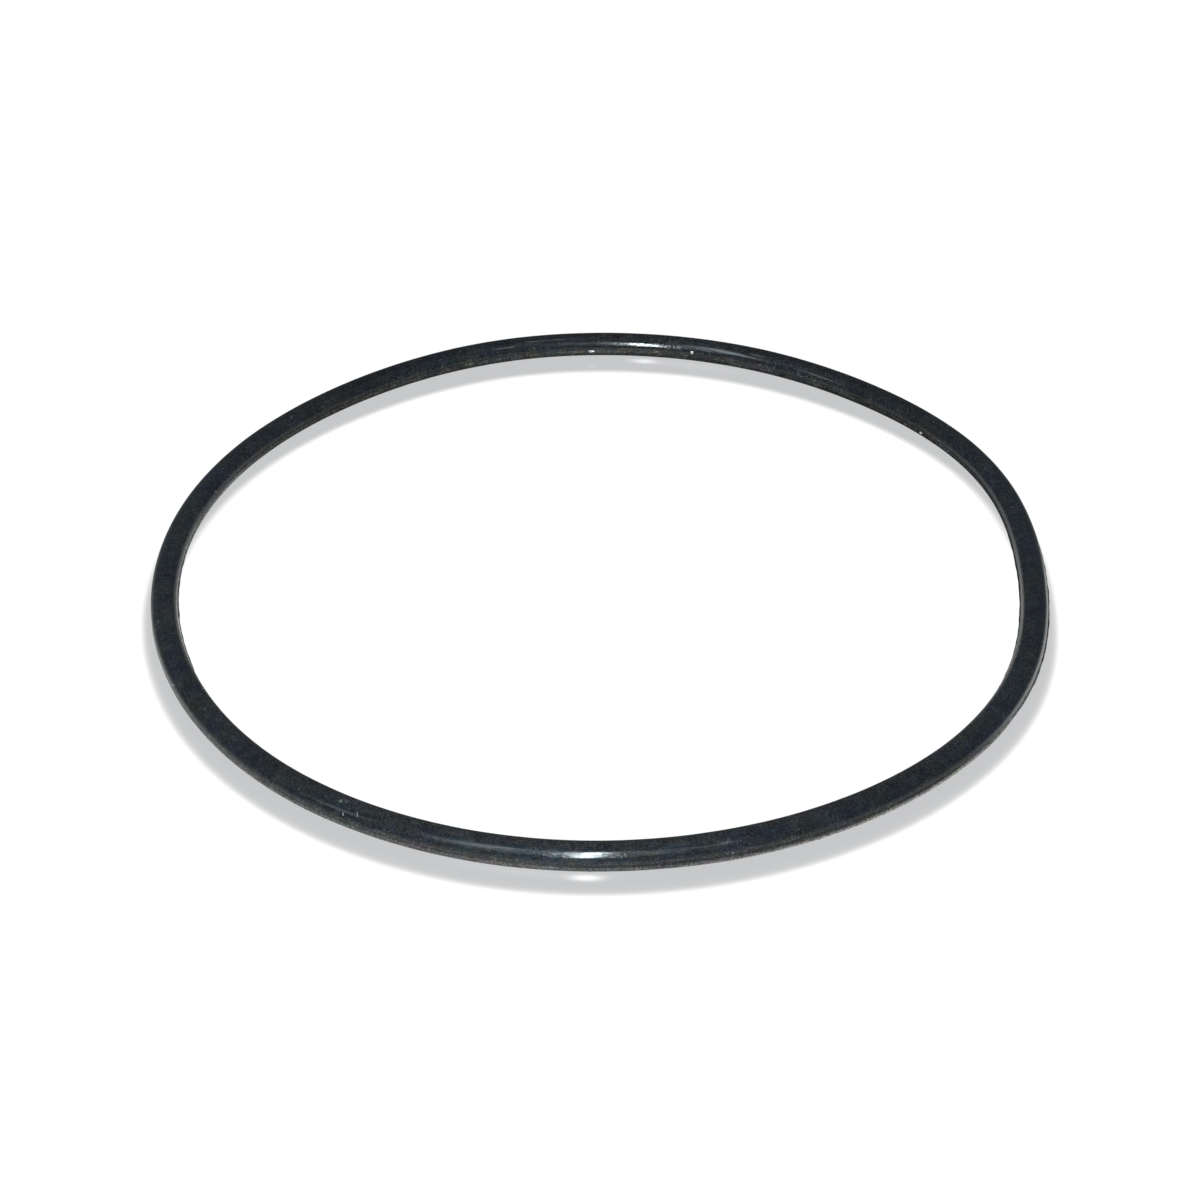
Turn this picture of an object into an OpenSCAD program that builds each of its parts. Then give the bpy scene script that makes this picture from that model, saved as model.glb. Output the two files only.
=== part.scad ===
// Moulded rubber o-ring, lying flat.
// One closed loop of round cord, moulded in two halves. The mould's parting
// line runs round the cord's inner and outer equator, where the flash was
// trimmed off and left two narrow cylindrical flats. Those two flats are the
// ring's seats on a shaft and in a housing.
// Millimetres. The origin is the ring's centre, with +Z along its axis.

/* [Ring] */
// Inside diameter of the free ring, measured across the inner flat
inside_d = 113.89; // [20:0.01:400]
// Thickness of the cord along the ring's axis
cord_d = 3.53; // [1.78:0.01:7]

/* [Parting line] */
// Width that the trimming took off the cord, inner and outer flat together
flash_trim = 0.02; // [0.01:0.01:0.1]

/* [Hidden] */

// Cord width measured radially, from flat to flat
cord_w = cord_d - flash_trim;
// Radius of the cord's centre line
mean_r = (inside_d + cord_w) / 2;
// Outside diameter across the outer flat
outside_d = inside_d + 2 * cord_w;
// Height of each flat along the axis
flat_h = sqrt(cord_d * cord_d - cord_w * cord_w);

// Section of the cord: a circle with its inner and outer equators trimmed flat
module cord_section() {
    intersection() {
        circle(d = cord_d, $fn = 96);
        square([cord_w, 2 * cord_d], center = true);
    }
}

// The whole ring in one piece
module o_ring() {
    color([0.13, 0.14, 0.16])
        rotate_extrude($fn = 288)
            translate([mean_r, 0])
                cord_section();
}

o_ring();
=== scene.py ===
import math

import bpy
import numpy as np
from mathutils import Matrix, Vector


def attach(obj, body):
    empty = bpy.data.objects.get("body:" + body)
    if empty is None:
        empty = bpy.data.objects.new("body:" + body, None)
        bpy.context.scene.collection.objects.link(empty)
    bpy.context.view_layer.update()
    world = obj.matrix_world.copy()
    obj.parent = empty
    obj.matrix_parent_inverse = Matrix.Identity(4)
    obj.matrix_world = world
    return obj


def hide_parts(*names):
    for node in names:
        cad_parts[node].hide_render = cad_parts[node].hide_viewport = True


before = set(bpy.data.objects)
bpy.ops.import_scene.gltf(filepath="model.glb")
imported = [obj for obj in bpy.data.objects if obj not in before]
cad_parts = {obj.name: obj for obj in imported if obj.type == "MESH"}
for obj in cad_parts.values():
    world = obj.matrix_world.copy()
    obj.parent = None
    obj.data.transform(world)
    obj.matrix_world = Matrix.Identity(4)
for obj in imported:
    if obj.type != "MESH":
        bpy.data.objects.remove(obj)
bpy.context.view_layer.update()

MM = 0.001
scene = bpy.context.scene

# ---------------------------------------------------------------- sizes, in mm
R = 58.70  # mean radius of the ring
CORD = 1.765  # radius of the cord
FLAT = 1.755  # half width at the trimmed parting line
FLOOR_Z = -CORD

# How the free ring lies: waves of its mean line round the ring, as shares of R.
# (number of waves, cosine, sine)
LIE = [
    (3, -0.0024, -0.0017),
    (4, -0.0029, 0.00122),
    (5, -0.00297, 0.00259),
    (6, -0.00217, 0.00054),
    (7, -0.0008, 0.00123),
    (8, -0.00102, 0.0005),
    (9, -0.00048, -0.00019),
]


def deg(a):
    return math.radians(a)


def smooth(x, a, b):
    t = np.clip((x - a) / (b - a), 0.0, 1.0)
    return t * t * (3 - 2 * t)


def mean_line(phi):
    """Point on the cord's centre line and its outward normal, in mm."""
    rho = np.ones_like(phi)
    slope = np.zeros_like(phi)
    for k, a, b in LIE:
        rho = rho + a * np.cos(k * phi) + b * np.sin(k * phi)
        slope = slope - k * a * np.sin(k * phi) + k * b * np.cos(k * phi)
    c = np.stack([rho * np.cos(phi), rho * np.sin(phi), 0 * phi], -1) * R
    t = np.stack(
        [slope * np.cos(phi) - rho * np.sin(phi), slope * np.sin(phi) + rho * np.cos(phi)],
        -1,
    )
    t /= np.linalg.norm(t, axis=-1)[..., None]
    n = np.stack([t[..., 1], -t[..., 0], 0 * phi], -1)
    return c, n


def waviness(phi, al):
    """Shallow unevenness of the moulded skin, in mm."""
    d = 0.0030 * np.sin(17 * phi + 0.6 + 0.9 * np.cos(al))
    d += 0.0022 * np.sin(29 * phi + 2.1 - 1.3 * np.sin(al + 0.4))
    d += 0.0016 * np.sin(47 * phi + 4.0 + 1.1 * np.sin(2 * al))
    d += 0.0011 * np.sin(83 * phi + 1.2 + 1.7 * np.cos(al - 0.9))
    d += 0.0008 * np.sin(131 * phi + 5.3 - 2.0 * np.sin(al))
    return d


FINS = (
    ((344.0, 21.0, 0.17),),
    ((350.0, 26.0, 0.15), (188.0, 19.0, 0.16)),
)


def flash_height(phi, side):
    """Height of what trimming left of the flash on the parting line, in mm. side 0 is the outer edge, 1 the inner."""
    s = 2.3 * side
    h = 0.016 + 0.007 * np.sin(11 * phi + 1.0 + s) + 0.005 * np.sin(37 * phi + 0.3 - s)
    h += 0.004 * np.sin(91 * phi + 2.0 * s) + 0.003 * np.sin(173 * phi + 1.4 + s)
    h = np.clip(h, 0.002, 0.04)
    # where trimming left a thin fin standing: angle, half width in degrees, height in mm
    for at, half, tall in FINS[side]:
        x = np.abs((np.degrees(phi) - at + 180) % 360 - 180) / half
        ragged = 1 + 0.14 * np.sin(61 * phi + at) + 0.10 * np.sin(149 * phi + 2 * at)
        h = h + tall * ragged * (1 - smooth(x, 0.72, 1.0))
    return h


def parting_shift(phi, side):
    """How far, in degrees round the cord, the parting line wanders off the middle."""
    s = 1.7 * side
    return 1.1 * np.sin(5 * phi + 0.4 + s) + 0.7 * np.sin(13 * phi + 2.2 - s) + 0.4 * np.sin(41 * phi + s)


def section_radius(phi, al):
    """Distance of the surface from the cord's centre line, in mm."""
    r = CORD + waviness(phi, al)
    # the skin swells a little low on the outside of the near right, and the cord is a little
    # thicker at the right and at the left
    x = np.abs((np.degrees(phi) - 303.0 + 180) % 360 - 180)
    r = r + 0.085 * (1 - smooth(x, 17.0, 29.0)) * np.exp(-(((np.degrees(np.angle(np.exp(1j * al))) + 36.0) / 19.0) ** 2))
    x = np.abs((np.degrees(phi) - 344.0 + 180) % 360 - 180)
    r = r + 0.042 * (1 - smooth(x, 14.0, 32.0))
    x = np.abs((np.degrees(phi) - 3.0 + 180) % 360 - 180)
    r = r + 0.035 * (1 - smooth(x, 9.0, 20.0)) * (0.5 + 0.5 * np.cos(al))
    x = np.abs((np.degrees(phi) - 176.0 + 180) % 360 - 180)
    r = r + 0.020 * (1 - smooth(x, 10.0, 22.0)) * (0.5 - 0.5 * np.cos(al))
    for side, mid in ((0, 0.0), (1, math.pi)):
        off = np.degrees(np.angle(np.exp(1j * (al - mid))))
        flat = (FLAT + np.maximum(r - CORD - 0.012, 0)) / np.maximum(np.cos(np.radians(off)), 0.5)
        r = np.where(np.abs(off) < 40, np.minimum(r, flat), r)
        x = off - parting_shift(phi, side)
        r = r + flash_height(phi, side) * np.exp(-((x / 1.7) ** 2))
    return r


def on_ring(phi_deg, al_deg, lift=0.0):
    """Point on the skin, outward normal, direction along the cord and direction round it, in mm."""
    phi = np.array([deg(phi_deg)])
    al = deg(al_deg)
    c, n = mean_line(phi)
    up = np.array([0, 0, 1.0])
    nn = n[0] * math.cos(al) + up * math.sin(al)
    r = float(section_radius(phi, np.array([al]))[0]) + lift
    along = np.array([-n[0][1], n[0][0], 0.0])
    around = -n[0] * math.sin(al) + up * math.cos(al)
    return c[0] + nn * r, nn, along, around


# ---------------------------------------------------------------- node helpers
def new_material(name):
    mat = bpy.data.materials.new(name)
    mat.use_nodes = True
    nt = mat.node_tree
    nt.nodes.clear()
    return mat, nt


def node(nt, kind, **values):
    n = nt.nodes.new(kind)
    for key, value in values.items():
        setattr(n, key, value)
    return n


def put(nt, socket, value):
    """Sets a socket to a number, or links it to another socket."""
    if isinstance(value, bpy.types.NodeSocket):
        nt.links.new(value, socket)
    else:
        socket.default_value = value


def math_node(nt, op, a, b=None, c=None, clamp=False):
    n = node(nt, "ShaderNodeMath", operation=op, use_clamp=clamp)
    for i, value in enumerate((a, b, c)):
        if value is not None:
            put(nt, n.inputs[i], value)
    return n.outputs[0]


def ramp(nt, value, lo, hi, to_lo=0.0, to_hi=1.0):
    n = node(nt, "ShaderNodeMapRange", interpolation_type="SMOOTHSTEP")
    put(nt, n.inputs["Value"], value)
    n.inputs["From Min"].default_value = lo
    n.inputs["From Max"].default_value = hi
    n.inputs["To Min"].default_value = to_lo
    n.inputs["To Max"].default_value = to_hi
    return n.outputs["Result"]


def mix_color(nt, fac, a, b):
    n = node(nt, "ShaderNodeMix", data_type="RGBA")
    put(nt, n.inputs["Factor"], fac)
    put(nt, n.inputs[6], a)
    put(nt, n.inputs[7], b)
    return n.outputs[2]


def scale_color(nt, color, factor):
    n = node(nt, "ShaderNodeVectorMath", operation="SCALE")
    put(nt, n.inputs[0], color)
    put(nt, n.inputs["Scale"], factor)
    return n.outputs[0]


def noise(nt, vector, scale, detail=2.0, rough=0.5, w=None):
    n = node(nt, "ShaderNodeTexNoise")
    if w is not None:
        n.noise_dimensions = "4D"
        put(nt, n.inputs["W"], w)
    put(nt, n.inputs["Vector"], vector)
    n.inputs["Scale"].default_value = scale
    n.inputs["Detail"].default_value = detail
    n.inputs["Roughness"].default_value = rough
    return n.outputs["Fac"]


def attribute(nt, name):
    return node(nt, "ShaderNodeAttribute", attribute_type="GEOMETRY", attribute_name=name)


# ---------------------------------------------------------------- the rubber ring
# Rows round the cord: close together at both parting lines.
near = [-9.0, -7.2, -5.6, -4.2, -2.8, -1.4, 0.0, 1.4, 2.8, 4.2, 5.6, 7.2, 9.0]
side_rows = [9.0 + 162.0 * i / 22 for i in range(1, 22)]
rows = near + side_rows + [180 + x for x in near] + [180 + x for x in side_rows]
AL = np.radians(np.array(rows))
N_PHI = 1440
PHI = np.linspace(0, 2 * math.pi, N_PHI, endpoint=False)

P, A = np.meshgrid(PHI, AL, indexing="ij")
centre, outward = mean_line(P)
normal = outward * np.cos(A)[..., None] + np.array([0, 0, 1.0]) * np.sin(A)[..., None]
verts = (centre + normal * section_radius(P, A)[..., None]) * MM
n_row = len(rows)
idx = np.arange(N_PHI * n_row).reshape(N_PHI, n_row)
nxt = np.roll(idx, -1, axis=0)
faces = np.stack(
    [idx, nxt, np.roll(nxt, -1, axis=1), np.roll(idx, -1, axis=1)], -1
).reshape(-1, 4)

mesh = bpy.data.meshes.new("o_ring_rubber")
mesh.from_pydata(verts.reshape(-1, 3).tolist(), [], faces.tolist())
mesh.validate()
mesh.shade_smooth()
ring = bpy.data.objects.new("o_ring_rubber", mesh)
scene.collection.objects.link(ring)


def face_out(me):
    """Turns the faces outward if they all point inward."""
    me.update()
    vol = 0.0
    co = np.zeros(len(me.vertices) * 3)
    me.vertices.foreach_get("co", co)
    co = co.reshape(-1, 3)
    me.calc_loop_triangles()
    tri = np.zeros(len(me.loop_triangles) * 3, np.int32)
    me.loop_triangles.foreach_get("vertices", tri)
    t = co[tri.reshape(-1, 3)]
    vol = np.einsum("ij,ij->i", t[:, 0], np.cross(t[:, 1], t[:, 2])).sum() / 6
    if vol < 0:
        me.flip_normals()
    return abs(vol)


face_out(mesh)

# Attributes that the material reads: where a point is round the cord, and how much
# trimmed line, dust and scuff there is.
a_deg = np.degrees(np.angle(np.exp(1j * A)))
p_deg = np.degrees(P)
band = np.zeros_like(P)
for side, mid in ((0, 0.0), (1, 180.0)):
    off = np.abs((a_deg - mid + 180) % 360 - 180 - parting_shift(P, side))
    width = 4.6 + 0.9 * np.sin(19 * P + side) + 0.6 * np.sin(53 * P + 2 * side)
    band = np.maximum(band, 1 - smooth(off, width - 1.4, width + 1.4))

low = 1 - smooth(np.sin(A), -0.28, 0.62)
dust = 0.25 + 0.75 * low
# painted rim light: a pale band with a grain like dust, along the outline low on the outside, heaviest near right
edge = np.degrees(np.arctan(1.41 * np.sin(P) + 0.35))
from_edge = (a_deg - edge + 180) % 360 - 180
RIM_LIGHT_AT = [0, 176, 190, 200, 222, 245, 262, 278, 288, 296, 312, 322, 332, 344, 356, 360]
RIM_LIGHT = [0, 0, 0.16, 0.26, 0.36, 0.34, 0.36, 0.44, 0.82, 0.98, 0.98, 0.62, 0.36, 0.28, 0.0, 0]
RIM_LIGHT_WIDE = [46, 46, 46, 46, 54, 62, 60, 44, 34, 34, 36, 44, 44, 36, 34, 34]
wide = np.interp(p_deg, RIM_LIGHT_AT, RIM_LIGHT_WIDE)
painted_rim_light = np.interp(p_deg, RIM_LIGHT_AT, RIM_LIGHT) * (1 - smooth(from_edge, 0.35 * wide, wide)) * (1 - smooth(-from_edge, 30, 45))


def streak(phi0, half_phi, al0, half_al, lean=0.0):
    """A soft pale line along the cord: middle and half length in degrees, place round the cord, half width, lean."""
    x = (p_deg - phi0 + 180) % 360 - 180
    y = (a_deg - al0 - lean * x + 180) % 360 - 180
    return (1 - smooth(np.abs(x) / half_phi, 0.6, 1.0)) * np.exp(-((y / half_al) ** 2))


# painted reflection: pale streaks near the outline at the left and right, and low inside at the back
painted_rim_light = np.maximum(painted_rim_light, 0.30 * streak(343, 18, 12, 10, 0.3))
painted_rim_light = np.maximum(painted_rim_light, 0.55 * streak(186, 19, 175, 14))
painted_rim_light = np.maximum(painted_rim_light, 0.26 * streak(166, 15, 200, 16))
painted_rim_light = np.maximum(painted_rim_light, 0.22 * streak(342, 12, 172, 9))
painted_rim_light = np.maximum(painted_rim_light, 0.08 * streak(128, 50, 200, 20))
band = band * (1 - 0.8 * np.clip(2 * painted_rim_light, 0, 1))
# a warmer film on top of the near side
film = smooth(a_deg, 78, 108) * (1 - smooth(a_deg, 135, 160)) * smooth(-np.sin(P), 0.2, 0.8)
dust = np.maximum(dust, 0.25 + 0.10 * film)
# thinner in front of the middle of the near side, thicker low at the back and low near right
dust = dust * (1 - 0.40 * np.exp(-(((p_deg - 270) / 17) ** 2)))
dust = dust * (1 - 0.35 * np.exp(-(((p_deg - 277.5) / 5) ** 2)) * smooth(a_deg, 16, 26))
dust = dust * (1 - 0.35 * np.exp(-(((p_deg - 82) / 22) ** 2)) * smooth(a_deg, 128, 140) * (1 - smooth(a_deg, 166, 174)))
dust = dust * (1 + 0.45 * smooth(np.sin(P), 0.1, 0.5) * smooth(a_deg, 170, 180))
dust = dust * (1 + 0.45 * smooth(np.sin(P), 0.1, 0.5) * smooth(-a_deg, 120, 160))
dust = dust * (1 + 0.45 * (1 - smooth(np.abs(p_deg - 303.0), 14, 26)) * smooth(-a_deg, -20, 5))
dust = dust * (1 - 0.50 * smooth(np.sin(P), 0.3, 0.8) * smooth(a_deg, 60, 75) * (1 - smooth(a_deg, 118, 135)))
warm = 0.75 * smooth(a_deg, 62, 92) * (1 - smooth(a_deg, 140, 165)) * smooth(-np.sin(P), 0.45, 0.95)
warm = np.maximum(warm, 0.65 * smooth(a_deg, 55, 75) * (1 - smooth(a_deg, 128, 155)) * smooth(np.sin(P), 0.2, 0.9))
warm = np.maximum(warm, 0.55 * (1 - smooth(np.sin(A), 0.0, 0.5)))
# painted light and shade: lighter towards the front left, at the left and right sides and near right; darker on top of
# the near side and at the back, just below the near gloss spot, and round the far gloss spot low on the inside
painted_light_and_shade = 1.0 + 0.10 * np.cos(P - deg(225))
painted_light_and_shade = painted_light_and_shade * (1 + 0.12 * np.cos(P) ** 4)
painted_light_and_shade = painted_light_and_shade * (1 - 0.35 * np.exp(-(((p_deg - 277.5) / 5) ** 2) - ((a_deg - 29) / 13) ** 2))
painted_light_and_shade = painted_light_and_shade * (1 - 0.42 * np.exp(-(((p_deg - 83) / 18) ** 2)) * smooth(a_deg, 124, 136) * (1 - smooth(a_deg, 174, 186)))
painted_light_and_shade = painted_light_and_shade * (1 + 0.12 * np.exp(-(((p_deg - 322) / 15) ** 2)))
warm = warm * (1 - 0.7 * np.exp(-(((p_deg - 109) / 14) ** 2)))
painted_light_and_shade = painted_light_and_shade * (1 - 0.22 * np.exp(-(((p_deg - 270) / 18) ** 2)) * smooth(a_deg, 50, 64) * (1 - smooth(a_deg, 104, 122)))
painted_light_and_shade = painted_light_and_shade * (1 - 0.30 * smooth(np.sin(P), 0.35, 0.85) * smooth(a_deg, 62, 82) * (1 - smooth(a_deg, 114, 130)))


def patch(phi0, al0, dphi, dal):
    x = ((p_deg - phi0 + 180) % 360 - 180) / dphi
    y = ((a_deg - al0 + 180) % 360 - 180) / dal
    return np.exp(-(x * x + y * y))


# Scuffed and dusty places: angle round the ring, round the cord, and half sizes.
# Some of these are painted sheen: the pale dashes on the back and above the near gloss spot paint thin highlights, and
# the wide patches near the outline at the left and right paint reflected light.
SCUFFS_AND_SHEEN = [
    (283.4, 54, 0.9, 7, 0.9),
    (278.3, 72, 0.9, 5, 0.5),
    (238.6, 75, 0.5, 7, 0.7),
    (323.9, 40, 0.35, 16, 0.55),
    (324.1, 12, 0.5, 14, 0.8),
    (313.0, 14, 0.7, 8, 0.4),
    (301.2, 30, 0.5, 8, 0.35),
    (309.0, 23, 0.5, 10, 0.5),
    (290.0, 4, 1.6, 7, 0.35),
    (226.5, 28, 1.2, 8, 0.4),
    (214.2, 76, 0.5, 6, 0.45),
    (194.6, 59, 0.6, 8, 0.45),
    (207.8, 55, 1.0, 7, 0.4),
    (255.0, 60, 0.8, 7, 0.35),
    (142.4, 120, 0.6, 9, 0.4),
    (40.0, 178, 1.2, 8, 0.4),
    (64.7, 127, 0.9, 3.0, 0.80),
    (97.8, 121, 4.2, 2.6, 0.45),
    (104.5, 136, 1.6, 3.5, 0.55),
    (235.6, 49, 2.3, 4.0, 0.42),
    (240.6, 46, 1.6, 2.5, 0.25),
    (170.0, 166, 7.0, 9.0, 0.40),
    (186.0, 168, 9.0, 8.0, 0.42),
    (199.0, 4, 7.0, 5.0, 0.40),
    (338.0, 12, 9.0, 4.5, 0.50),
    (351.0, 22, 8.0, 4.5, 0.50),
    (342.0, 168, 8.0, 6.0, 0.40),
    (3.0, 163, 10.0, 7.0, 0.28),
]
scuff_and_sheen = np.zeros_like(P)
for p0, a0, dp, da, s in SCUFFS_AND_SHEEN:
    scuff_and_sheen = np.maximum(scuff_and_sheen, s * patch(p0, a0, dp, da))


def point_attribute(me, name, values):
    a = me.attributes.new(name, "FLOAT", "POINT")
    a.data.foreach_set("value", np.asarray(values, np.float32).ravel())


def vector_attribute(me, name, values):
    a = me.attributes.new(name, "FLOAT_VECTOR", "POINT")
    a.data.foreach_set("vector", np.asarray(values, np.float32).ravel())


point_attribute(mesh, "trim_line", band)
point_attribute(mesh, "dust", dust)
point_attribute(mesh, "scuff_and_sheen", scuff_and_sheen)
point_attribute(mesh, "warm", warm)
point_attribute(mesh, "painted_rim_light", painted_rim_light)
point_attribute(mesh, "painted_light_and_shade", painted_light_and_shade)
vector_attribute(mesh, "round_cord", np.stack([np.cos(A), np.sin(A), 0 * A], -1))


def rubber_material():
    mat, nt = new_material("rubber_black")
    out = node(nt, "ShaderNodeOutputMaterial")
    bsdf = node(nt, "ShaderNodeBsdfPrincipled")
    nt.links.new(bsdf.outputs[0], out.inputs["Surface"])
    place = node(nt, "ShaderNodeTexCoord").outputs["Object"]

    trim = attribute(nt, "trim_line").outputs["Fac"]
    dusty = attribute(nt, "dust").outputs["Fac"]
    scuff_and_sheen_fac = attribute(nt, "scuff_and_sheen").outputs["Fac"]

    # mottled blue-black: navy and olive-black patches, and an uneven tone from 3 mm down to 0.1 mm
    hue = noise(nt, place, 260.0, 5.0, 0.85, w=3.7)
    green = noise(nt, place, 330.0, 4.0, 0.85, w=8.1)
    tone = mix_color(nt, ramp(nt, hue, 0.40, 0.60), (0.0178, 0.0236, 0.0358, 1), (0.0250, 0.0290, 0.0282, 1))
    tone = mix_color(nt, ramp(nt, green, 0.52, 0.62, 0.0, 0.65), tone, (0.0170, 0.0300, 0.0310, 1))
    uneven = noise(nt, place, 330.0, 5.0, 1.0, w=1.3)
    speck = noise(nt, place, 3000.0, 2.0, 1.0, w=2.2)
    shade = math_node(nt, "MULTIPLY_ADD", uneven, 3.4, 1.0 - 0.5 * 3.4)
    shade = math_node(nt, "MULTIPLY", shade, math_node(nt, "MULTIPLY_ADD", speck, 1.8, 1.0 - 0.5 * 1.8))
    warm = attribute(nt, "warm").outputs["Fac"]
    tone = mix_color(nt, warm, tone, (0.0283, 0.0284, 0.0282, 1))
    # painted light and shade scale the tone here
    shade = math_node(nt, "MULTIPLY", shade, attribute(nt, "painted_light_and_shade").outputs["Fac"])
    tone = scale_color(nt, tone, shade)

    # dust: a fine haze with grains, thickest low on the cord
    grain = noise(nt, place, 3400.0, 2.0, 0.85)
    haze = noise(nt, place, 520.0, 4.0, 0.8, w=5.2)
    grain_fac = ramp(nt, grain, 0.50, 0.66)
    haze_fac = ramp(nt, haze, 0.38, 0.66, 0.15, 1.0)
    fac = math_node(nt, "MULTIPLY", grain_fac, haze_fac)
    fac = math_node(nt, "MULTIPLY", fac, dusty)
    fac = math_node(nt, "MULTIPLY", fac, 0.95, clamp=True)
    grit = mix_color(nt, ramp(nt, hue, 0.42, 0.58), (0.230, 0.245, 0.240, 1), (0.270, 0.245, 0.195, 1))
    tone = mix_color(nt, fac, tone, grit)
    veil = math_node(nt, "MULTIPLY", haze_fac, ramp(nt, dusty, 0.45, 1.0, 0.0, 0.36))
    tone = mix_color(nt, veil, tone, (0.105, 0.106, 0.097, 1))
    # painted rim light: a pale, grainy band along the outline
    pale = math_node(nt, "MULTIPLY", attribute(nt, "painted_rim_light").outputs["Fac"], ramp(nt, haze, 0.30, 0.60, 0.45, 1.0))
    pale = math_node(nt, "MULTIPLY", pale, ramp(nt, grain, 0.36, 0.64, 0.55, 1.45), clamp=True)
    tone = mix_color(nt, pale, tone, (0.520, 0.515, 0.480, 1))

    # a fine uneven tint over all of it, stronger where it is dusty
    tint = node(nt, "ShaderNodeTexNoise")
    nt.links.new(place, tint.inputs["Vector"])
    tint.inputs["Scale"].default_value = 420.0
    tint.inputs["Detail"].default_value = 4.0
    tint.inputs["Roughness"].default_value = 0.95
    amount = ramp(nt, dusty, 0.3, 1.0, 0.75, 1.6)
    shift = node(nt, "ShaderNodeVectorMath", operation="SUBTRACT")
    nt.links.new(tint.outputs["Color"], shift.inputs[0])
    shift.inputs[1].default_value = (0.5, 0.5, 0.5)
    tinted = node(nt, "ShaderNodeVectorMath", operation="ADD")
    nt.links.new(scale_color(nt, shift.outputs[0], amount), tinted.inputs[0])
    tinted.inputs[1].default_value = (1.0, 1.0, 1.0)
    times = node(nt, "ShaderNodeVectorMath", operation="MULTIPLY")
    nt.links.new(tone, times.inputs[0])
    nt.links.new(tinted.outputs[0], times.inputs[1])
    fine = ramp(nt, noise(nt, place, 4300.0, 1.0, 0.6, w=6.4), 0.38, 0.62, -1.0, 1.0)
    fine_amount = ramp(nt, dusty, 0.3, 1.25, 0.20, 0.72)
    tone = scale_color(nt, times.outputs[0], math_node(nt, "MULTIPLY_ADD", fine, fine_amount, 1.0))

    # scuffs, rubbed lighter and grainy, and painted sheen drawn the same way
    rub = math_node(nt, "MULTIPLY", scuff_and_sheen_fac, ramp(nt, grain, 0.38, 0.62, 0.25, 1.0))
    tone = mix_color(nt, math_node(nt, "MULTIPLY", rub, 0.8), tone, (0.11, 0.125, 0.125, 1))

    # the trimmed parting line is a matt, darker stripe
    tone = mix_color(nt, math_node(nt, "MULTIPLY", trim, 0.6), tone, (0.012, 0.012, 0.0125, 1))
    nt.links.new(tone, bsdf.inputs["Base Color"])

    rough = ramp(nt, uneven, 0.4, 0.6, 0.09, 0.13)
    rough = math_node(nt, "ADD", rough, math_node(nt, "MULTIPLY", trim, 0.30))
    rough = math_node(nt, "ADD", rough, math_node(nt, "MULTIPLY", fac, 0.35))
    rough = math_node(nt, "ADD", rough, ramp(nt, dusty, 0.42, 0.95, 0.0, 0.24))
    rough = math_node(nt, "ADD", rough, math_node(nt, "MULTIPLY", scuff_and_sheen_fac, 0.22))
    nt.links.new(rough, bsdf.inputs["Roughness"])
    bsdf.inputs["IOR"].default_value = 1.5
    bsdf.inputs["Anisotropic"].default_value = 0.3
    bsdf.inputs["Anisotropic Rotation"].default_value = 0.25
    tangent = node(nt, "ShaderNodeTangent", direction_type="RADIAL", axis="Z")
    nt.links.new(tangent.outputs[0], bsdf.inputs["Tangent"])

    # bump: fine grain, and faint tool marks that run along the cord
    round_cord = attribute(nt, "round_cord").outputs["Vector"]
    direction = node(nt, "ShaderNodeVectorMath", operation="NORMALIZE")
    nt.links.new(place, direction.inputs[0])
    marks_at = node(nt, "ShaderNodeVectorMath", operation="MULTIPLY_ADD")
    nt.links.new(round_cord, marks_at.inputs[0])
    marks_at.inputs[1].default_value = (6.5, 6.5, 0.0)
    spread = node(nt, "ShaderNodeVectorMath", operation="SCALE")
    nt.links.new(direction.outputs[0], spread.inputs[0])
    spread.inputs["Scale"].default_value = 14.0
    nt.links.new(spread.outputs[0], marks_at.inputs[2])
    marks = noise(nt, marks_at.outputs[0], 1.0, 3.0, 0.6)
    bump1 = node(nt, "ShaderNodeBump")
    bump1.inputs["Strength"].default_value = 1.0
    bump1.inputs["Distance"].default_value = 0.000003
    nt.links.new(marks, bump1.inputs["Height"])
    bump2 = node(nt, "ShaderNodeBump")
    bump2.inputs["Strength"].default_value = 1.0
    bump2.inputs["Distance"].default_value = 0.0000045
    height = math_node(nt, "ADD", noise(nt, place, 2200.0, 2.0, 0.7), math_node(nt, "MULTIPLY", grain_fac, 0.6))
    height = math_node(nt, "ADD", height, math_node(nt, "MULTIPLY", noise(nt, place, 5200.0, 2.0, 0.6), math_node(nt, "MULTIPLY", trim, 2.5)))
    nt.links.new(height, bump2.inputs["Height"])
    nt.links.new(bump1.outputs[0], bump2.inputs["Normal"])
    nt.links.new(bump2.outputs[0], bsdf.inputs["Normal"])
    return mat


ring.data.materials.append(rubber_material())
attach(ring, "root")
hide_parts("o_ring")

# ---------------------------------------------------------------- dust on the skin
rng = np.random.default_rng(41)
dust_v, dust_f, dust_tone, dust_teal = [], [], [], []


def ico():
    g = (1 + 5**0.5) / 2
    v = [(-1, g, 0), (1, g, 0), (-1, -g, 0), (1, -g, 0), (0, -1, g), (0, 1, g),
         (0, -1, -g), (0, 1, -g), (g, 0, -1), (g, 0, 1), (-g, 0, -1), (-g, 0, 1)]
    f = [(0, 11, 5), (0, 5, 1), (0, 1, 7), (0, 7, 10), (0, 10, 11), (1, 5, 9), (5, 11, 4),
         (11, 10, 2), (10, 7, 6), (7, 1, 8), (3, 9, 4), (3, 4, 2), (3, 2, 6), (3, 6, 8),
         (3, 8, 9), (4, 9, 5), (2, 4, 11), (6, 2, 10), (8, 6, 7), (9, 8, 1)]
    v = np.array(v, float)
    return v / np.linalg.norm(v[0]), f


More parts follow.
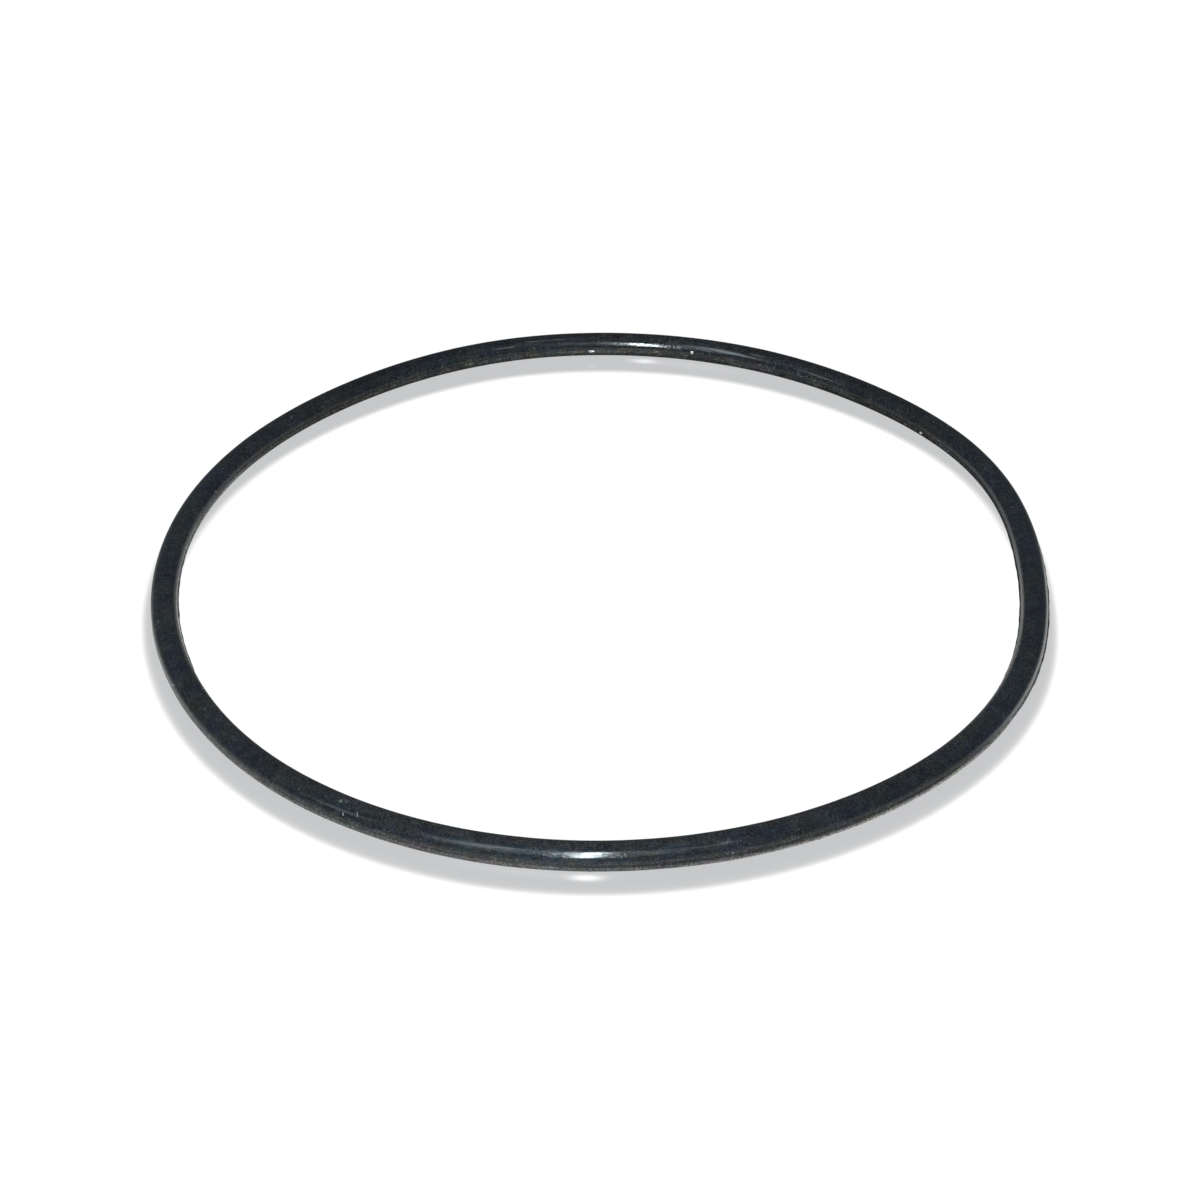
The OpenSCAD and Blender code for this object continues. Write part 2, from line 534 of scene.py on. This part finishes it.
def ico_fine():
    v, f = ico()
    v = [tuple(x) for x in v]
    seen, out = {}, []

    def mid(a, b):
        key = (min(a, b), max(a, b))
        if key not in seen:
            m = (np.array(v[a]) + np.array(v[b])) / 2
            v.append(tuple(m / np.linalg.norm(m)))
            seen[key] = len(v) - 1
        return seen[key]

    for a, b, c in f:
        ab, bc, ca = mid(a, b), mid(b, c), mid(c, a)
        out += [(a, ab, ca), (ab, b, bc), (ca, bc, c), (ab, bc, ca)]
    return np.array(v), out


ICO, ICO_F = ico()
ICO2, ICO2_F = ico_fine()


def grain(phi, al, long_mm, wide_mm, tall_mm, tone, turn=0.0, fine=False, teal=0.0):
    """A closed, uneven crumb of dust, sunk a little into the skin."""
    v, f = (ICO2, ICO2_F) if fine else (ICO, ICO_F)
    p, n, along, around = on_ring(phi, al, tall_mm * 0.15)
    t = deg(turn)
    e1 = along * math.cos(t) + around * math.sin(t)
    e2 = -along * math.sin(t) + around * math.cos(t)
    k = 1 + 0.22 * rng.standard_normal(len(v))
    q = v * np.clip(k, 0.6, 1.5)[:, None]
    w = p + (q[:, :1] * long_mm / 2) * e1 + (q[:, 1:2] * wide_mm / 2) * e2 + (q[:, 2:] * tall_mm / 2) * n
    base = sum(len(x) for x in dust_v)
    dust_v.append(w * MM)
    dust_f.extend([tuple(base + i for i in t3) for t3 in f])
    dust_tone.extend([tone] * len(v))
    dust_teal.extend([teal] * len(v))


def fibre(points, radius, tone, teal=0.0):
    """A closed thin thread through points given as (angle round the ring, angle round the cord), lying on the skin."""
    path = []
    pts = np.array(points, float)
    n = max(8, 5 * len(pts))
    s = np.linspace(0, len(pts) - 1, n)
    ph = np.interp(s, np.arange(len(pts)), pts[:, 0])
    aa = np.interp(s, np.arange(len(pts)), pts[:, 1])
    frames = [on_ring(a, b, radius * 0.7) for a, b in zip(ph, aa)]
    path = np.array([x[0] for x in frames])
    sides = 6
    base = sum(len(x) for x in dust_v)
    out = []
    for i, (p, nn, _, _) in enumerate(frames):
        t = path[min(i + 1, n - 1)] - path[max(i - 1, 0)]
        t /= np.linalg.norm(t)
        b = np.cross(t, nn)
        b /= np.linalg.norm(b)
        r = radius * (0.45 if i in (0, n - 1) else 1.0) * (1 + 0.12 * math.sin(2.3 * i))
        for k in range(sides):
            c = 2 * math.pi * k / sides
            out.append(p + r * (math.cos(c) * nn + math.sin(c) * b))
    dust_v.append(np.array(out) * MM)
    for i in range(n - 1):
        for k in range(sides):
            a0, a1 = base + i * sides + k, base + i * sides + (k + 1) % sides
            dust_f.append((a0, a1, a1 + sides, a0 + sides))
    dust_f.append(tuple(base + k for k in reversed(range(sides))))
    dust_f.append(tuple(base + (n - 1) * sides + k for k in range(sides)))
    dust_tone.extend([tone] * len(out))
    dust_teal.extend([teal] * len(out))


# Marks: angle round the ring, angle round the cord, length, width, height in mm,
# tone from 0, faint, to 1, white, and turn off the cord's direction.
MARKS = [
    (91.15, 189, 0.90, 0.44, 0.28, 1.00, 0),
    (75.2, 167, 0.54, 0.44, 0.24, 1.00, 20),
    (80.8, 181, 0.36, 0.28, 0.12, 0.62, 0),
    (34.0, 194, 0.64, 0.44, 0.28, 1.00, 30),
    (37.2, 196, 0.30, 0.25, 0.10, 0.40, 0),
    (30.8, 76, 0.34, 0.24, 0.16, 0.55, 60),
    (32.8, 108, 0.22, 0.18, 0.08, 0.35, 0),
    (37.8, 122, 0.22, 0.18, 0.08, 0.35, 0),
    (28.8, 156, 0.22, 0.18, 0.08, 0.30, 0),
    (100.2, 158, 0.30, 0.14, 0.07, 0.40, 50),
    (94.0, 188, 0.26, 0.20, 0.08, 0.35, 0),
    (89.3, 186, 0.22, 0.18, 0.08, 0.35, 0),
    (111.8, 112, 0.30, 0.14, 0.06, 0.30, 0),
    (8.8, 106, 0.26, 0.22, 0.09, 0.45, 0),
    (17.8, 156, 0.22, 0.18, 0.08, 0.30, 0),
    (181.5, 46, 0.22, 0.18, 0.08, 0.35, 0),
    (142.5, 113, 0.28, 0.22, 0.08, 0.40, 0),
    (142.2, 172, 0.26, 0.20, 0.08, 0.40, 0),
    (136.2, 182, 0.22, 0.18, 0.08, 0.35, 0),
    (124.2, 168, 0.22, 0.18, 0.08, 0.30, 0),
    (206.8, 24, 0.28, 0.24, 0.10, 0.85, 0),
    (209.8, 136, 0.24, 0.20, 0.08, 0.80, 0),
    (194.6, 60, 0.24, 0.20, 0.08, 0.58, 0),
    (214.2, 78, 0.30, 0.22, 0.08, 0.42, 0),
    (233.2, 52, 0.20, 0.18, 0.08, 0.40, 0),
    (309.0, 30, 0.20, 0.18, 0.08, 0.35, 0),
    (294.5, -38, 0.30, 0.20, 0.08, 0.45, 0),
    (301.5, -4, 0.26, 0.18, 0.08, 0.35, 0),
    (295.2, -18, 0.26, 0.18, 0.08, 0.35, 0),
]
for phi0, al0, a1, b1, c1, tone, turn in MARKS:
    grain(phi0, al0, a1, b1, c1, tone, turn, fine=True)

grain(238.7, 76, 0.50, 0.44, 0.08, 0.46, fine=True, teal=0.6)
grain(103.2, 185, 0.28, 0.22, 0.08, 0.50, fine=True, teal=0.6)
grain(106.2, 191, 0.30, 0.24, 0.08, 0.50, fine=True, teal=0.6)

# Short threads and ticks.
fibre([(163.25, 150), (162.95, 164)], 0.050, 0.72)
fibre([(160.9, 164), (160.7, 172)], 0.045, 0.45)
fibre([(178.05, 62), (178.2, 74)], 0.045, 0.40)
fibre([(137.3, 140), (136.9, 145), (136.5, 141)], 0.040, 0.40)
fibre([(239.6, 40), (239.75, 28)], 0.060, 0.75)
fibre([(241.3, 58), (241.5, 43)], 0.060, 0.70)
fibre([(239.05, 91), (239.3, 79), (239.6, 92)], 0.060, 0.42, teal=0.35)
fibre([(100.4, 154), (100.1, 163)], 0.040, 0.38)
fibre([(61.6, 141), (61.4, 152)], 0.040, 0.36)
fibre([(61.5, 160), (61.7, 168)], 0.040, 0.36)
fibre([(55.7, 147), (54.7, 146.5), (53.2, 145.5)], 0.036, 0.34)
fibre([(53.4, 145.5), (52.4, 144.5), (51.5, 143.5)], 0.046, 0.50)
# these three pale threads along the cord at the back paint thin highlight streaks
fibre([(106.4, 137), (105.4, 137), (104.3, 137.5), (103.3, 137)], 0.044, 0.42)
fibre([(101.5, 119.5), (99.7, 120.5), (97.6, 121), (95.0, 122)], 0.036, 0.34)
fibre([(66.2, 126.5), (64.8, 127), (63.6, 126.5)], 0.042, 0.36)

# Fine dust, scattered: thicker low on the inside of the back and low on the outside of the front.
for phi0, phi1, al0, al1, count in (
    (30, 150, 168, 226, 170),
    (20, 170, 95, 165, 60),
    (195, 345, -40, 32, 170),
    (195, 345, 35, 120, 70),
    (150, 200, 20, 190, 40),
    (345, 390, 20, 190, 40),
    (0, 360, 205, 236, 60),
    (0, 360, 304, 330, 60),
    (196, 348, -44, 4, 900),
    (18, 165, 172, 214, 620),
    (286, 326, -40, 14, 420),
):
    for _ in range(count):
        size = 0.055 if count > 400 else 0.075
        s = float(np.clip(size * math.exp(0.35 * rng.standard_normal()), 0.03, 0.16))
        grain(
            rng.uniform(phi0, phi1),
            rng.uniform(al0, al1),
            s * rng.uniform(1.0, 1.6),
            s,
            s * 0.55,
            float(np.clip(0.22 + 0.10 * rng.standard_normal(), 0.08, 0.5)),
            rng.uniform(0, 180),
        )

dmesh = bpy.data.meshes.new("surface_dust")
dmesh.from_pydata(np.concatenate(dust_v).tolist(), [], dust_f)
dmesh.validate()
dmesh.shade_smooth()
dust_obj = bpy.data.objects.new("surface_dust", dmesh)
scene.collection.objects.link(dust_obj)
point_attribute(dmesh, "tone", dust_tone)
point_attribute(dmesh, "teal", dust_teal)


def dust_material():
    mat, nt = new_material("dust_grey")
    out = node(nt, "ShaderNodeOutputMaterial")
    bsdf = node(nt, "ShaderNodeBsdfPrincipled")
    nt.links.new(bsdf.outputs[0], out.inputs["Surface"])
    place = node(nt, "ShaderNodeTexCoord").outputs["Object"]
    tone = attribute(nt, "tone").outputs["Fac"]
    dark = mix_color(nt, ramp(nt, tone, 0.0, 0.5), (0.030, 0.029, 0.026, 1), (0.20, 0.20, 0.185, 1))
    col = mix_color(nt, ramp(nt, tone, 0.5, 1.0), dark, (0.86, 0.86, 0.84, 1))
    col = mix_color(nt, ramp(nt, noise(nt, place, 9000.0), 0.4, 0.7, 0.0, 0.25), col, (0.10, 0.09, 0.08, 1))
    col = mix_color(nt, attribute(nt, "teal").outputs["Fac"], col, (0.085, 0.185, 0.165, 1))
    nt.links.new(col, bsdf.inputs["Base Color"])
    rough = ramp(nt, noise(nt, place, 6000.0), 0.3, 0.7, 0.75, 0.95)
    nt.links.new(rough, bsdf.inputs["Roughness"])
    bump = node(nt, "ShaderNodeBump")
    bump.inputs["Distance"].default_value = 0.00001
    nt.links.new(noise(nt, place, 14000.0), bump.inputs["Height"])
    nt.links.new(bump.outputs[0], bsdf.inputs["Normal"])
    return mat


dmesh.materials.append(dust_material())
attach(dust_obj, "root")

# ---------------------------------------------------------------- floor
z0 = FLOOR_Z * MM
# The floor is laid out in rows beside the ring's centre line, so that the painted grey shadow band beside the ring can
# be given as distances from that line, in mm.
side_at = np.concatenate([[-38.0, -30.0, -23.0, -17.0, -13.0, -10.0, -8.4], np.linspace(-7.2, 6.0, 89), [7.4, 9.5, 13.0, 18.0, 25.0]])
FPHI = np.linspace(0, 2 * math.pi, 720, endpoint=False)
FP, FD = np.meshgrid(FPHI, side_at, indexing="ij")
fc, fn = mean_line(FP)
spot = fc + fn * FD[..., None]
outer_edge = np.maximum(2.65 - 1.82 * np.sin(FP), 1.3)
inner_edge = np.maximum(0.95 + 4.6 * np.sin(FP), 0.9)


def fade(x, inside, outside, power):
    u = np.clip((x + inside) / (inside + outside), 0.0, 1.0) ** power
    return 1 - u * u * (3 - 2 * u)


# painted shadow: a soft grey band on the floor, beside the ring outside at the front and inside at the back
painted_shadow = fade(FD - outer_edge, 1.2, 0.5, 2.0) * fade(-FD - inner_edge, 1.1, 0.75, 1.3)
painted_shadow = painted_shadow * (1 - 0.06 * smooth(FD / outer_edge, 0.5, 0.95) * smooth(-np.sin(FP), 0.0, 0.3))
# painted light and shade on the floor, as the rubber sees it in reflection: bright close inside left and right and in
# front of the near side, dim in the middle, close behind the near side and close outside left and right
flank = smooth(np.abs(np.cos(FP)), 0.62, 0.95)
front = smooth(-np.sin(FP), 0.1, 0.5)
ring_deg = np.degrees(FP)
seen_in = 0.12 + 0.83 * flank * (1 - 0.75 * smooth(-np.sin(FP), 0.1, 0.35)) * (1 - smooth(-FD, 8, 14))
seen_in = np.maximum(seen_in, 0.52 * smooth(np.sin(FP), 0.1, 0.5) * (1 - smooth(-FD, 10, 40)))
left_in = 1 - smooth(np.abs(ring_deg - 182), 24, 34)
seen_in = seen_in * (1 - 0.45 * left_in * smooth(-FD, 3.6, 5.0))
seen_in = seen_in * (1 - 0.45 * (1 - smooth(np.abs(ring_deg - 17), 7, 14)) * (1 - smooth(-FD, 5.0, 7.0)))
right = 1 - smooth(np.abs((ring_deg - 344 + 180) % 360 - 180), 14, 24)
seen_out = (0.28 + 0.46 * front) * (1 - 0.45 * smooth(FD, 6, 16)) + 0.80 * right * (1 - smooth(FD, 7, 15))
# painted shade under the grey band and close beside the ring
seen = np.where(FD < 0, seen_in, seen_out) * (1 - 0.45 * painted_shadow)
seen = seen * (0.2 + 0.8 * smooth(np.abs(FD), 2.0, 4.0))
# painted light close to the ring on the outside, and close on the inside at the left
NEAR_AT = [0, 180, 190, 200, 212, 222, 240, 255, 272, 284, 292, 300, 314, 322, 330, 346, 356, 360]
NEAR = [0.15, 0.4, 0.8, 0.95, 0.90, 0.82, 0.6, 0.46, 0.45, 0.90, 1.45, 1.60, 1.45, 0.8, 0.6, 0.6, 0.3, 0.15]
NEAR_TO = [3.0, 3.4, 4.2, 4.4, 3.8, 3.3, 3.0, 2.6, 2.4, 2.3, 2.3, 2.3, 2.4, 2.6, 3.0, 3.0, 3.0, 3.0]
reach = np.interp(ring_deg, NEAR_AT, NEAR_TO)
near_seen = np.interp(ring_deg, NEAR_AT, NEAR) * (1 - smooth(FD, reach - 0.5, reach + 1.2))
seen = np.where(FD > 0, np.maximum(seen, near_seen), seen)
IN_AT = [0, 148, 158, 170, 178, 190, 199, 205, 212, 314, 324, 332, 342, 350, 360]
NEAR_IN = [0, 0.4, 1.3, 1.6, 2.1, 2.2, 1.3, 0.8, 0, 0, 0.9, 1.4, 1.2, 0.35, 0]
near_seen = np.interp(ring_deg, IN_AT, NEAR_IN) * (1 - smooth(-FD, 3.0, 4.2))
seen = np.where(FD < 0, np.maximum(seen, near_seen), seen)
# painted glints that the two gloss spots and their tails would throw on it: angle, half width in degrees, distance from
# the centre line, half depth in mm, strength
PAINTED_GLINTS = [
    (268.0, 1.45, 1.76, 0.43, 0.46),
    (263.0, 9.0, 1.45, 0.60, 0.045),
    (82.8, 1.6, -2.02, 0.53, 0.33),
    (75.0, 7.0, -2.10, 0.80, 0.04),
    (91.1, 0.5, -3.9, 0.45, 0.06),
    (75.0, 0.5, -3.3, 0.40, 0.03),
]
painted_glint = 0 * FP
for p0, dp, d0, dd, strength in PAINTED_GLINTS:
    x = (np.degrees(FP) - p0) / dp
    painted_glint = painted_glint + strength * np.exp(-0.69 * (x * x + ((FD - d0) / dd) ** 2) ** 1.15)
n_side = len(side_at)
fv = spot.reshape(-1, 3)[:, :2].tolist()
f_idx = np.arange(len(fv)).reshape(720, n_side)
f_nxt = np.roll(f_idx, -1, axis=0)
ff = np.stack([f_idx[:, :-1], f_idx[:, 1:], f_nxt[:, 1:], f_nxt[:, :-1]], -1).reshape(-1, 4).tolist()
# the plain middle and the wide plain surround
mid_at = len(fv)
fv.append([0.0, 0.0])
ff += [[mid_at, f_idx[j, 0], f_nxt[j, 0]] for j in range(720)]
rim_at = len(fv)
fv += [[6000 * math.cos(a), 6000 * math.sin(a)] for a in FPHI]
ff += [[f_idx[j, -1], rim_at + j, rim_at + (j + 1) % 720, f_nxt[j, -1]] for j in range(720)]
floor_mesh = bpy.data.meshes.new("floor")
floor_mesh.from_pydata([(x * MM, y * MM, z0) for x, y in fv], [], [tuple(int(i) for i in f) for f in ff])
pad = [0.0] * (len(fv) - painted_shadow.size)
point_attribute(floor_mesh, "painted_shadow", np.concatenate([painted_shadow.ravel(), pad]))
point_attribute(floor_mesh, "painted_glint", np.concatenate([painted_glint.ravel(), pad]))
point_attribute(floor_mesh, "seen", np.concatenate([seen.ravel(), [0.12], [0.3] * 720]))
floor = bpy.data.objects.new("floor", floor_mesh)
scene.collection.objects.link(floor)
PAINTED_SHADOW_COLOR = (0.569, 0.574, 0.582, 1)
mat, nt = new_material("floor_white")
out = node(nt, "ShaderNodeOutputMaterial")
# what the camera sees: an evenly lit white sheet, with a painted grey shadow band beside the ring
lit = node(nt, "ShaderNodeEmission")
painted_shadow_fac = attribute(nt, "painted_shadow").outputs["Fac"]
lit_color = mix_color(nt, painted_shadow_fac, (1.03, 1.03, 1.03, 1), PAINTED_SHADOW_COLOR)
# painted glints added to the floor's glow
glow = node(nt, "ShaderNodeVectorMath", operation="ADD")
put(nt, glow.inputs[0], lit_color)
put(nt, glow.inputs[1], attribute(nt, "painted_glint").outputs["Fac"])
put(nt, lit.inputs["Color"], glow.outputs[0])
# what the ring sees of it: a matt floor with painted light and shade in its colour, shaded where the ring stands close
dif = node(nt, "ShaderNodeBsdfDiffuse")
put(nt, dif.inputs["Color"], scale_color(nt, (0.52, 0.52, 0.51), attribute(nt, "seen").outputs["Fac"]))
mixer = node(nt, "ShaderNodeMixShader")
nt.links.new(node(nt, "ShaderNodeLightPath").outputs["Is Camera Ray"], mixer.inputs[0])
nt.links.new(dif.outputs[0], mixer.inputs[1])
nt.links.new(lit.outputs[0], mixer.inputs[2])
nt.links.new(mixer.outputs[0], out.inputs["Surface"])
floor_mesh.materials.append(mat)

# ---------------------------------------------------------------- camera
EL, DIST = deg(35.39), 4.979 * R


def rx(a):
    return np.array([[1, 0, 0], [0, math.cos(a), -math.sin(a)], [0, math.sin(a), math.cos(a)]])


def ry(a):
    return np.array([[math.cos(a), 0, math.sin(a)], [0, 1, 0], [-math.sin(a), 0, math.cos(a)]])


def rz(a):
    return np.array([[math.cos(a), -math.sin(a), 0], [math.sin(a), math.cos(a), 0], [0, 0, 1]])


cam_at = DIST * np.array([0, -math.cos(EL), math.sin(EL)])
forward = -cam_at / np.linalg.norm(cam_at)
right = np.array([1.0, 0, 0])
upward = np.cross(right, forward)
M = rz(deg(-0.626)) @ rx(deg(1.09)) @ ry(deg(0.04)) @ np.stack([right, -upward, forward])
cam_data = bpy.data.cameras.new("camera")
cam_data.sensor_width = 36.0
cam_data.lens = 36.0 * 2149.0 / 1200.0
cam_data.shift_x, cam_data.shift_y = -0.00026, 0.00026
cam_data.clip_start, cam_data.clip_end = 0.01, 50.0
cam = bpy.data.objects.new("camera", cam_data)
scene.collection.objects.link(cam)
rot = Matrix([[M[0][i], -M[1][i], -M[2][i]] for i in range(3)])
cam.matrix_world = Matrix.Translation(Vector(cam_at * MM)) @ rot.to_4x4()
scene.camera = cam

# ---------------------------------------------------------------- light
only_ring = bpy.data.collections.new("lit_ring")
scene.collection.children.link(only_ring)
only_ring.objects.link(ring)
only_ring.objects.link(dust_obj)
only_floor = bpy.data.collections.new("lit_floor")
scene.collection.children.link(only_floor)
only_floor.objects.link(floor)


def aim(obj, at, to):
    obj.location = Vector(at)
    obj.rotation_mode = "QUATERNION"
    obj.rotation_quaternion = (Vector(to) - Vector(at)).to_track_quat("-Z", "Y")


# a wide soft box over the floor
box_data = bpy.data.lights.new("soft_box", "AREA")
box_data.shape = "SQUARE"
box_data.size = 14.0
box_data.energy = 1.22 * math.pi * 14.0 * 14.0
box = bpy.data.objects.new("soft_box", box_data)
scene.collection.objects.link(box)
aim(box, (0, 0, 0.8), (0, 0, 0))
box.visible_camera = False
box.light_linking.receiver_collection = only_floor

def soft_lamp(name, at, to, wide, tall, radiance, beam):
    """A soft box of the given radiance on its axis, upright, aimed, with its beam held to the given angle. mm."""
    data = bpy.data.lights.new(name, "AREA")
    data.shape = "RECTANGLE"
    data.size, data.size_y = wide * MM, tall * MM
    half_beam = deg(beam) / 2
    data.spread = deg(beam)
    gain = math.tan(half_beam) / (math.tan(half_beam) - half_beam)
    data.energy = radiance * math.pi * data.size * data.size_y / gain
    data.color = (0.88, 1.0, 1.03)
    obj = bpy.data.objects.new(name, data)
    scene.collection.objects.link(obj)
    aim(obj, [x * MM for x in at], [x * MM for x in to])
    obj.light_linking.receiver_collection = only_ring
    return obj


def from_point(p, az, el, dist):
    """The place at a distance from a point, in the direction given by its bearing and height angle."""
    a, e = deg(az), deg(el)
    return (p[0] + dist * math.cos(e) * math.cos(a), p[1] + dist * math.cos(e) * math.sin(a), p[2] + dist * math.sin(e))


# strip lamps that the near and the far side reflect, each a curved bank of narrow beams aimed
# at its own place: name, point on the ring, bearing, height angle from, to, how many, distance,
# width, radiance, beam
for name, p, az, el0, el1, n, dist, wide, radiance, beam in (
    ("near_strip", (-1.8, -59.7, 1.3), 265.4, 27.5, 69.0, 4, 141, 9.8, 62.0, 26),
    ("near_left", (-13.7, -57.1, 1.3), 234.4, 44.0, 69.0, 2, 250, 42, 2.8, 26),
    ("near_right", (5.8, -59.3, 1.3), 283.7, 36.0, 69.0, 2, 250, 17, 1.0, 26),
    ("far_strip", (7.1, 56.7, 0.9), 256.4, 18.0, 42.5, 4, 235, 12.0, 88.0, 20),
    ("far_left", (19.5, 53.6, 1.0), 228.6, 33.0, 60.0, 3, 300, 41, 6.4, 24),
):
    step = (el1 - el0) / n
    for i in range(n):
        at = from_point(p, az, el0 + (i + 0.5) * step, dist)
        soft_lamp(f"{name}_{i}", at, p, wide, dist * deg(step), radiance, beam)
soft_lamp("wide_panel", (-50.0, -208.0, 198.0), (0.0, 0.0, 0.0), 230, 162, 1.0, 120)
key = soft_lamp("key", (-200, -280, 320), (0, 0, 0), 300, 300, 1.0, 170)
key.visible_glossy = False

# surroundings: white behind the floor for the camera, dim for what the rubber reflects,
# with a few pale panels
world = bpy.data.worlds.new("studio")
scene.world = world
world.use_nodes = True
wt = world.node_tree
wt.nodes.clear()
wout = node(wt, "ShaderNodeOutputWorld")
direction = node(wt, "ShaderNodeTexCoord").outputs["Generated"]
sep = node(wt, "ShaderNodeSeparateXYZ")
wt.links.new(direction, sep.inputs[0])
az = math_node(wt, "ARCTAN2", sep.outputs[1], sep.outputs[0])
az = math_node(wt, "MULTIPLY", az, 180 / math.pi)
az = math_node(wt, "ADD", az, math_node(wt, "MULTIPLY", math_node(wt, "LESS_THAN", az, 0.0), 360.0))
el = math_node(wt, "MULTIPLY", math_node(wt, "ARCSINE", sep.outputs[2]), 180 / math.pi)

# azimuth from, to, elevation from, to, soft edge, strength
PANELS = [
    (200.5, 208.0, 27.0, 42.0, 3.0, 1.8),
    (298.0, 309.0, 52.0, 60.0, 2.0, 1.6),
    (350.0, 359.0, 78.0, 86.0, 2.0, 1.2),
]
sky = node(wt, "ShaderNodeMix", data_type="RGBA")
put(wt, sky.inputs["Factor"], ramp(wt, el, 0.0, 70.0))
sky.inputs[6].default_value = (0.085, 0.095, 0.11, 1)
sky.inputs[7].default_value = (0.11, 0.12, 0.14, 1)
total = sky.outputs[2]
for a0, a1, e0, e1, s, strength in PANELS:
    m = math_node(wt, "MULTIPLY", ramp(wt, az, a0 - s, a0 + s), ramp(wt, az, a1 - s, a1 + s, 1.0, 0.0))
    m = math_node(wt, "MULTIPLY", m, ramp(wt, el, e0 - s, e0 + s))
    m = math_node(wt, "MULTIPLY", m, ramp(wt, el, e1 - s, e1 + s, 1.0, 0.0))
    sc = node(wt, "ShaderNodeVectorMath", operation="SCALE")
    sc.inputs[0].default_value = (0.90, 1.0, 1.06)
    put(wt, sc.inputs["Scale"], math_node(wt, "MULTIPLY", m, strength))
    add = node(wt, "ShaderNodeVectorMath", operation="ADD")
    wt.links.new(total, add.inputs[0])
    wt.links.new(sc.outputs[0], add.inputs[1])
    total = add.outputs[0]
bg_gloss = node(wt, "ShaderNodeBackground")
wt.links.new(total, bg_gloss.inputs["Color"])
bg_soft = node(wt, "ShaderNodeBackground")
bg_soft.inputs["Color"].default_value = (0.43, 0.45, 0.48, 1)
path = node(wt, "ShaderNodeLightPath")
bg_dim = node(wt, "ShaderNodeMixShader")
wt.links.new(path.outputs["Is Diffuse Ray"], bg_dim.inputs[0])
wt.links.new(bg_gloss.outputs[0], bg_dim.inputs[1])
wt.links.new(bg_soft.outputs[0], bg_dim.inputs[2])
bg_white = node(wt, "ShaderNodeBackground")
bg_white.inputs["Color"].default_value = (1.05, 1.05, 1.05, 1)
pick = node(wt, "ShaderNodeMixShader")
wt.links.new(path.outputs["Is Camera Ray"], pick.inputs[0])
wt.links.new(bg_dim.outputs[0], pick.inputs[1])
wt.links.new(bg_white.outputs[0], pick.inputs[2])
wt.links.new(pick.outputs[0], wout.inputs["Surface"])

scene.view_settings.view_transform = "Standard"
scene.view_settings.look = "None"
